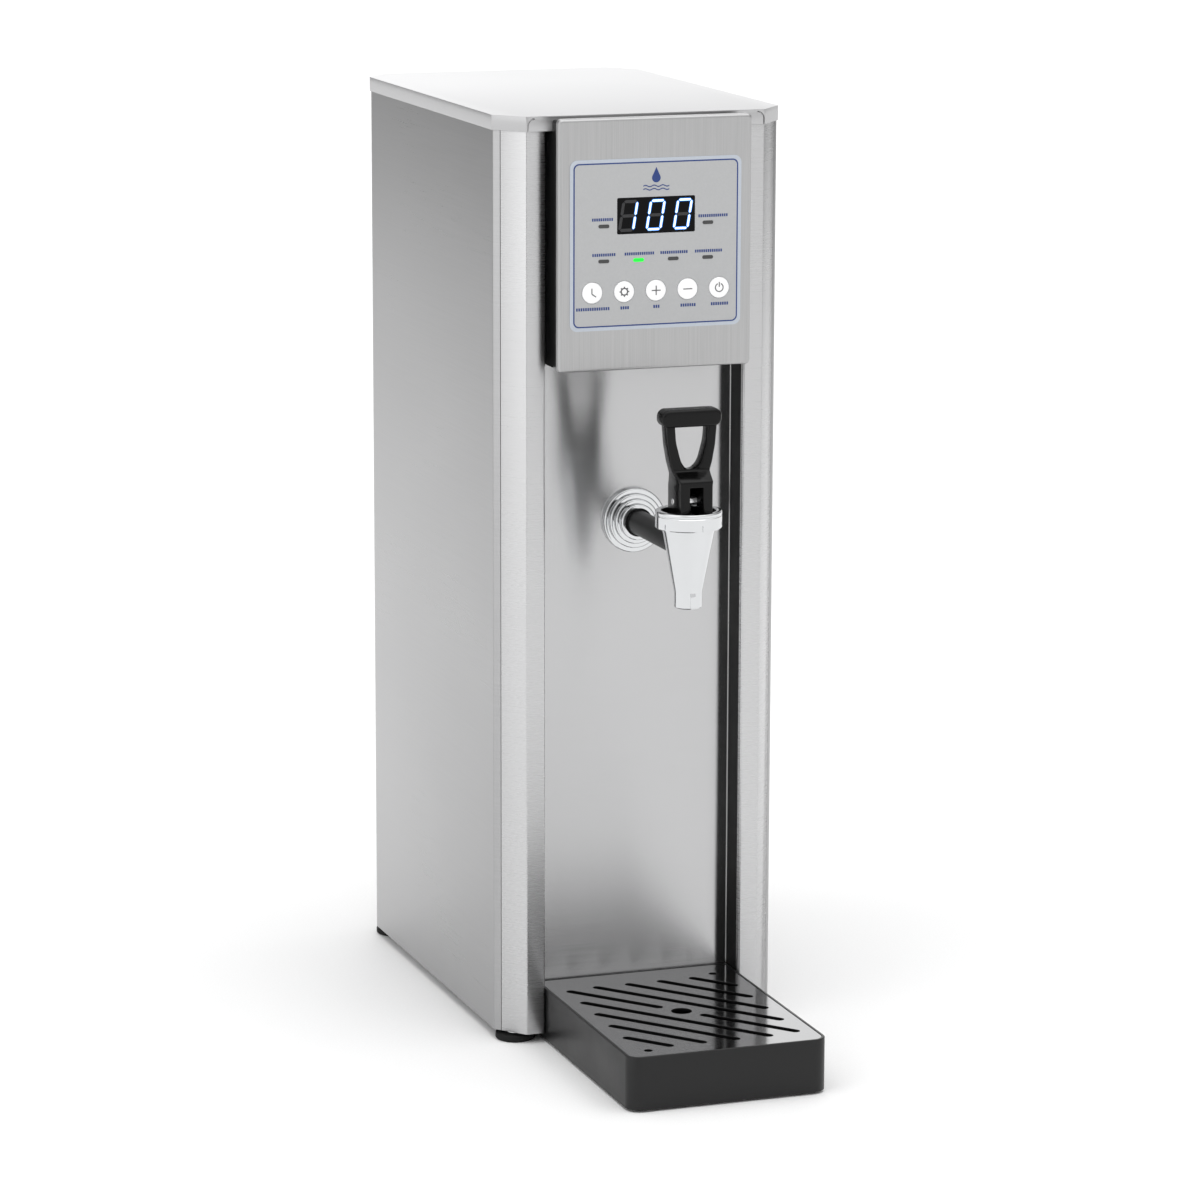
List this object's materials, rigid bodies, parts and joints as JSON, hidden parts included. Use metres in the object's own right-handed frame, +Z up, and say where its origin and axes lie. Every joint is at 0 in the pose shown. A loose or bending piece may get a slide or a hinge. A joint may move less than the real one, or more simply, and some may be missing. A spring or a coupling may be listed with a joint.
{
  "type": "countertop water dispenser",
  "caption": "Slim countertop hot water dispenser with a brushed steel case, a control head, a lever tap and a removable drip tray.",
  "frame": {"origin": "on the counter, at the middle of the whole object's footprint box", "axes": "+Z up, the tap and the drip tray face -Y, +X is to the right seen from the front"},
  "size_m": [0.2, 0.5, 0.6233],
  "materials": {
    "steel_sheet": "brushed",
    "fascia_steel": "brushed upright",
    "grid_steel": "polished",
    "black_lining": "satin",
    "black_housing": "satin",
    "lever_plastic": "satin",
    "tray_plastic": "fine grain",
    "rubber": "matt",
    "chrome": "mirror",
    "pin_steel": "bright",
    "label_film": "printed film",
    "display_lens": "gloss",
    "display_case": "moulded",
    "lamp_guide": "clear",
    "button_cap": "backlit",
    "circuit_board": "lacquered",
    "tank_steel": "mill",
    "standoff_brass": "machined",
    "seal_rubber": "silicone",
    "felt": "felt",
    "valve_nylon": "moulded",
    "handle_red": "moulded"
  },
  "bodies": {
    "case": {"base_plate": "steel_sheet", "left_side_panel": "steel_sheet", "right_side_panel": "steel_sheet", "left_front_post": "steel_sheet", "right_front_post": "steel_sheet", "left_recess_lining": "black_lining", "right_recess_lining": "black_lining", "recess_panel": "steel_sheet", "top_cap": "steel_sheet", "foot_pads": "rubber", "foot_studs": "chrome", "rear_panel": "steel_sheet", "case_screws": "pin_steel", "control_fascia": "fascia_steel", "control_housing": "black_housing", "label_overlay": "label_film", "display_window": "display_lens", "display_module": "display_case", "indicator_lamps": "lamp_guide", "tactile_switches": "display_case", "control_board": "circuit_board", "board_standoffs": "standoff_brass", "tap_rosette": "chrome", "tap_shank": "black_housing", "shank_nut": "pin_steel", "tap_body": "chrome", "bonnet_ring": "chrome", "valve_spring": "pin_steel", "water_tank": "tank_steel", "tank_lid": "tank_steel", "tank_seals": "seal_rubber", "tank_jacket": "felt", "heating_element": "tank_steel", "tank_probes": "tank_steel", "overheat_cutout": "display_case", "tank_brackets": "tank_steel", "outlet_hose": "seal_rubber", "steel_pipes": "tank_steel", "inlet_valve": "valve_nylon", "valve_coil": "valve_nylon", "drain_cock": "standoff_brass", "cable_gland": "display_case", "switch_frame": "display_case", "power_board": "circuit_board", "terminal_block": "display_case"},
    "stem": {"valve_stem": "pin_steel", "seat_cup": "rubber"},
    "lever": {"tap_lever": "lever_plastic", "lever_pin": "pin_steel"},
    "tray": {"drip_tray": "tray_plastic", "tray_pads": "rubber"},
    "grid": {"drip_grid": "grid_steel"},
    "drain_lever": {"drain_handle": "handle_red"},
    "rocker": {"switch_rocker": "display_case"},
    "timer_button_body": {"timer_button": "button_cap"},
    "set_button_body": {"set_button": "button_cap"},
    "up_button_body": {"up_button": "button_cap"},
    "down_button_body": {"down_button": "button_cap"},
    "power_button_body": {"power_button": "button_cap"}
  },
  "joints": [
    {"name": "stem_lift", "type": "slide", "parent": "case", "child": "stem", "axis": [0, 0, 1], "range_m": [0, 0.00575], "stiffness_N_per_m": 500, "springref_m": -0.004, "deforming": ["valve_spring"]},
    {"name": "lever_pull", "type": "hinge", "parent": "stem", "child": "lever", "pos_m": [0, -0.167, 0.381], "axis": [1, 0, 0], "range_deg": [0, 22]},
    {"name": "tray_slide", "type": "slide", "parent": "case", "child": "tray", "axis": [0, -1, 0], "range_m": [0, 0.2]},
    {"name": "grid_lift", "type": "slide", "parent": "tray", "child": "grid", "axis": [0, 0, 1], "range_m": [0, 0.06]},
    {"name": "drain_turn", "type": "hinge", "parent": "case", "child": "drain_lever", "pos_m": [0.045, 0.235, 0.06], "axis": [0, 0, 1], "range_deg": [0, 90]},
    {"name": "switch_rock", "type": "hinge", "parent": "case", "child": "rocker", "pos_m": [-0.05, 0.226, 0.12], "axis": [1, 0, 0], "range_deg": [0, 20]},
    {"name": "timer_press", "type": "slide", "parent": "case", "child": "timer_button_body", "axis": [0, 1, 0], "range_m": [0, 0.0008], "stiffness_N_per_m": 300, "springref_m": -0.0004},
    {"name": "set_press", "type": "slide", "parent": "case", "child": "set_button_body", "axis": [0, 1, 0], "range_m": [0, 0.0008], "stiffness_N_per_m": 300, "springref_m": -0.0004},
    {"name": "up_press", "type": "slide", "parent": "case", "child": "up_button_body", "axis": [0, 1, 0], "range_m": [0, 0.0008], "stiffness_N_per_m": 300, "springref_m": -0.0004},
    {"name": "down_press", "type": "slide", "parent": "case", "child": "down_button_body", "axis": [0, 1, 0], "range_m": [0, 0.0008], "stiffness_N_per_m": 300, "springref_m": -0.0004},
    {"name": "power_press", "type": "slide", "parent": "case", "child": "power_button_body", "axis": [0, 1, 0], "range_m": [0, 0.0008], "stiffness_N_per_m": 300, "springref_m": -0.0004}
  ],
  "couplings": [
    {"joint": "lever_pull", "follows": "stem_lift", "rad_per_m": 66.667}
  ]
}
